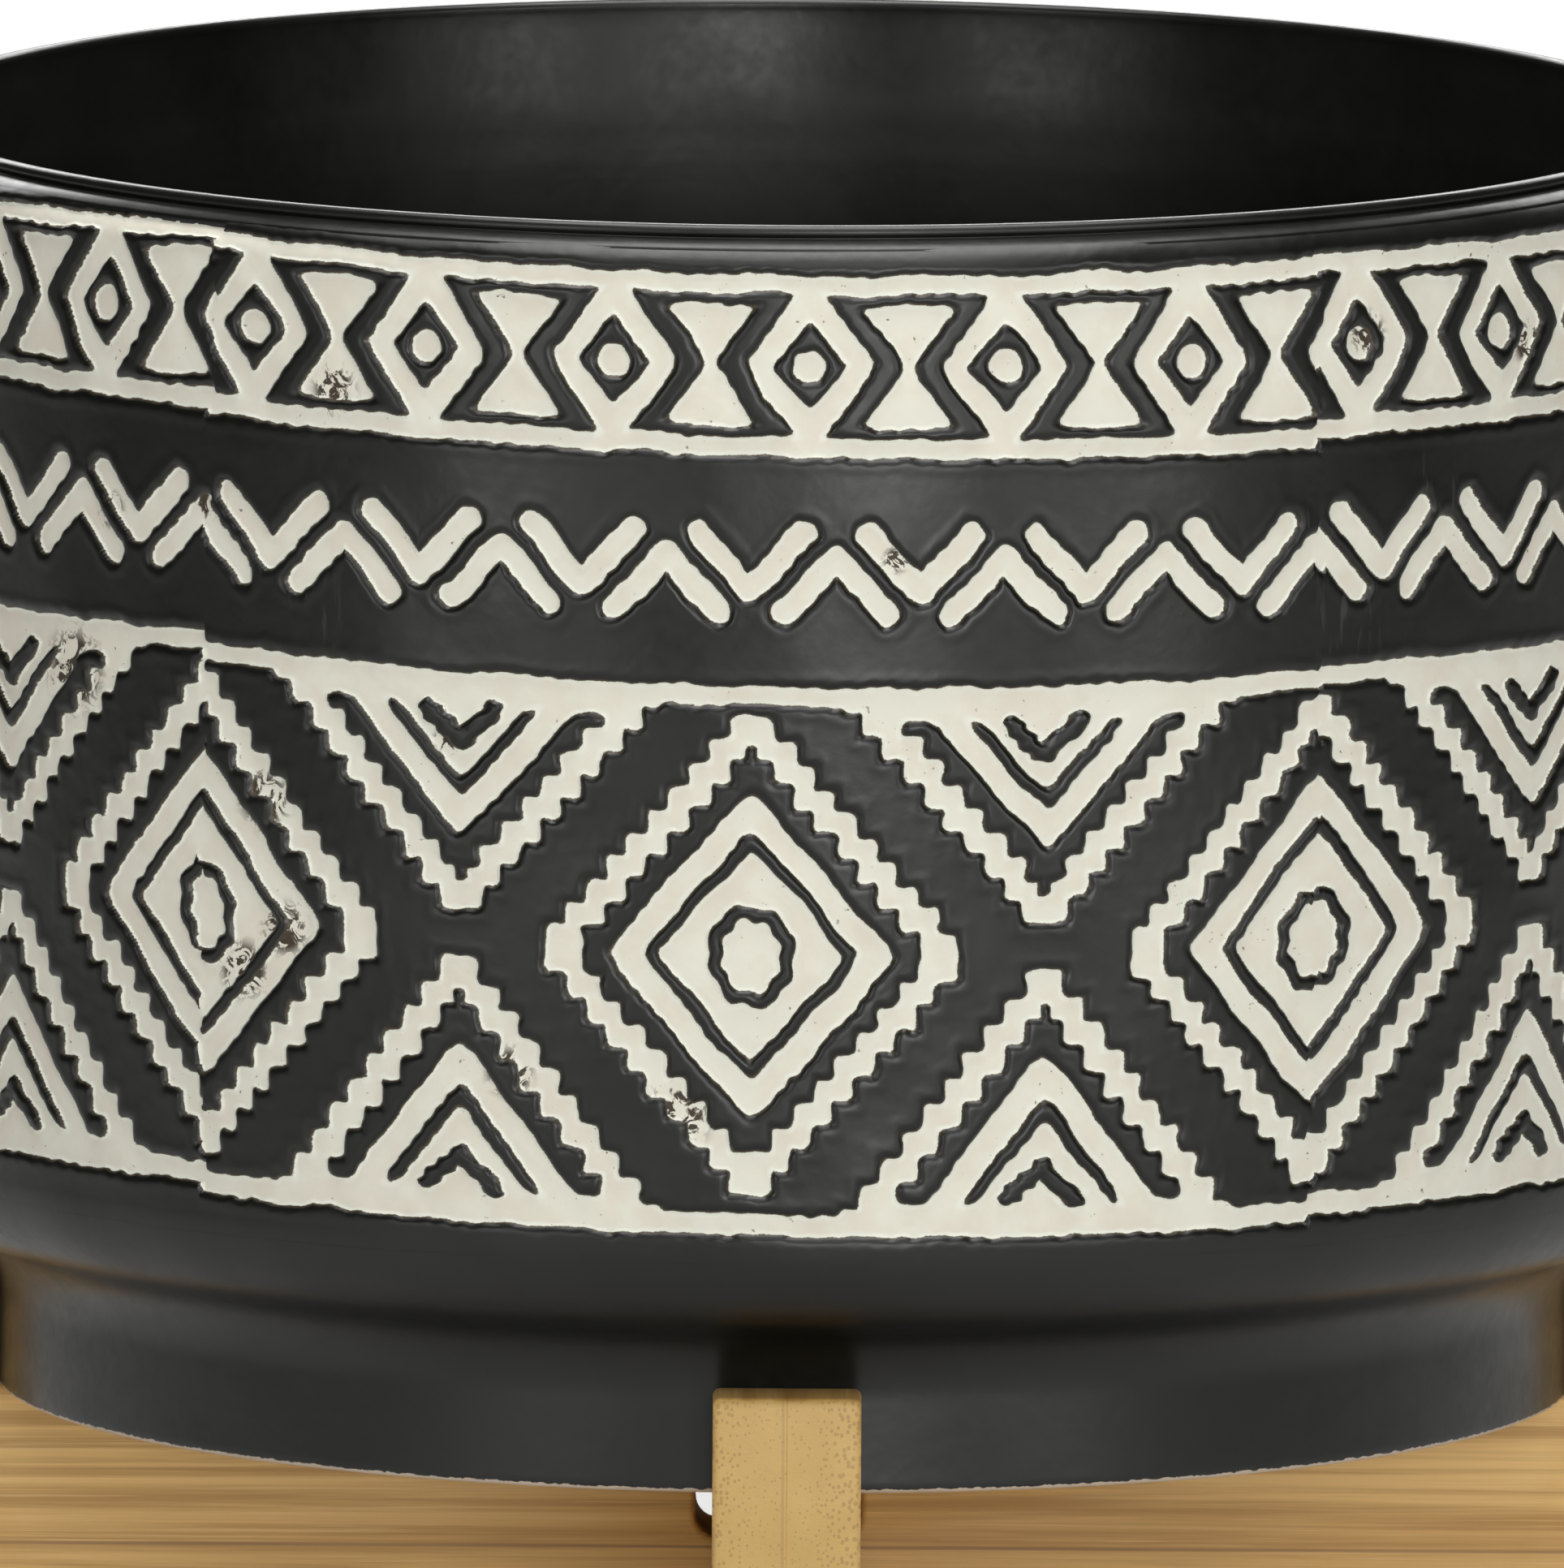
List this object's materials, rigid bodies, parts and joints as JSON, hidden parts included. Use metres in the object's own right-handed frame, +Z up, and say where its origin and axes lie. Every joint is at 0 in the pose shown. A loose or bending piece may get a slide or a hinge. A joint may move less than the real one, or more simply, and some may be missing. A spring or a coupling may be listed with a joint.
{
  "type": "planter bowl on cross stand",
  "caption": "Round black-glazed ceramic planter bowl with cream relief bands, resting in a stand of halved bamboo boards.",
  "frame": {"origin": "on the floor, under the axis of the pot", "axes": "+Z up along the axis of the pot, +X along the lower board, +Y along the upper board towards the back"},
  "size_m": [0.251, 0.251, 0.2455],
  "materials": {
    "black_glaze": "satin",
    "cream_slip": "matte",
    "bamboo": "matte",
    "plug_rubber": "matte",
    "pad_rubber": "matte"
  },
  "bodies": {
    "lower_board": {"lower_board_front_ply": "bamboo", "lower_board_rear_ply": "bamboo", "lower_left_pad": "pad_rubber", "lower_right_pad": "pad_rubber"},
    "upper_board": {"upper_board_left_ply": "bamboo", "upper_board_right_ply": "bamboo", "upper_front_pad": "pad_rubber", "upper_rear_pad": "pad_rubber"},
    "pot": {"pot_body": "black_glaze", "eye_band_slip": "cream_slip", "eye_band_glaze": "black_glaze", "chevron_band_slip": "cream_slip", "chevron_band_glaze": "black_glaze", "diamond_band_slip": "cream_slip", "diamond_band_glaze": "black_glaze"},
    "plug": {"drain_plug": "plug_rubber"}
  },
  "joints": [
    {"name": "upper_board_lift", "type": "slide", "parent": "lower_board", "child": "upper_board", "axis": [0, 0, 1], "range_m": [0, 0.06]},
    {"name": "pot_lift", "type": "slide", "parent": "upper_board", "child": "pot", "axis": [0, 0, 1], "range_m": [0, 0.06]},
    {"name": "plug_pull", "type": "slide", "parent": "pot", "child": "plug", "axis": [0, 0, 1], "range_m": [0, 0.04]}
  ]
}
